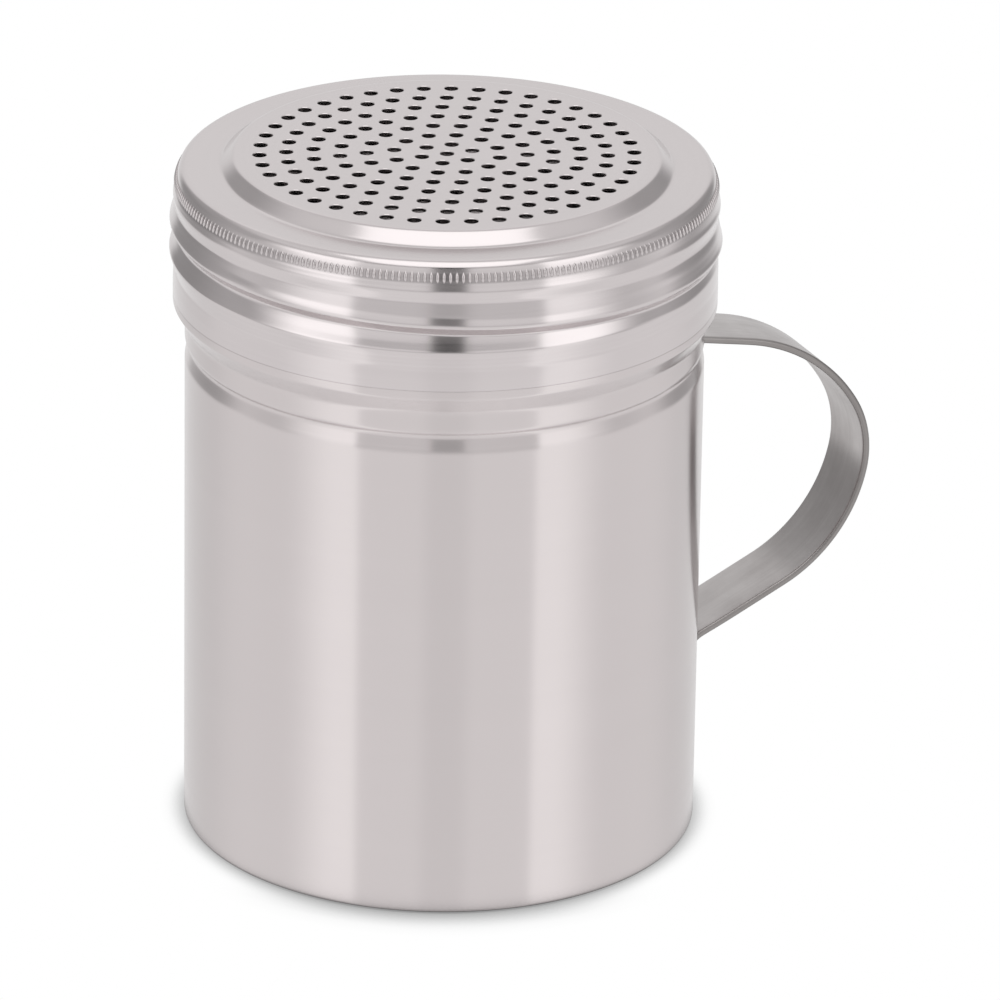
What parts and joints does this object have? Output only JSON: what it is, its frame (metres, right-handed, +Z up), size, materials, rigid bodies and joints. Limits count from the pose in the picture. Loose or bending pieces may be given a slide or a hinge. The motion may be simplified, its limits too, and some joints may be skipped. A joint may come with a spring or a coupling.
{
  "type": "spice shaker with screw lid",
  "caption": "Cylindrical steel spice shaker with a rolled shoulder, a screw lid with a raised perforated top, and a strap handle spot-welded to its side.",
  "frame": {"origin": "on the cup's axis, in the plane of the foot ring that it stands on", "axes": "+Z up along the cup's axis, +X towards the handle, +Y to the left of someone who looks along +X"},
  "size_m": [0.0992, 0.0742, 0.0954],
  "materials": {
    "cup_steel": "satin polish, finely brushed round the wall",
    "lid_steel": "bright polish",
    "strap_steel": "mill finish, brushed along the strap",
    "weld_steel": "dull, pressed flat by an electrode"
  },
  "bodies": {
    "cup": {"cup": "cup_steel", "handle": "strap_steel", "upper_spot_welds": "weld_steel", "lower_spot_welds": "weld_steel"},
    "lid": {"lid": "lid_steel"}
  },
  "joints": [
    {"name": "lid_lift", "type": "slide", "parent": "cup", "child": "lid", "axis": [0, 0, 1], "range_m": [0, 0.03]}
  ]
}
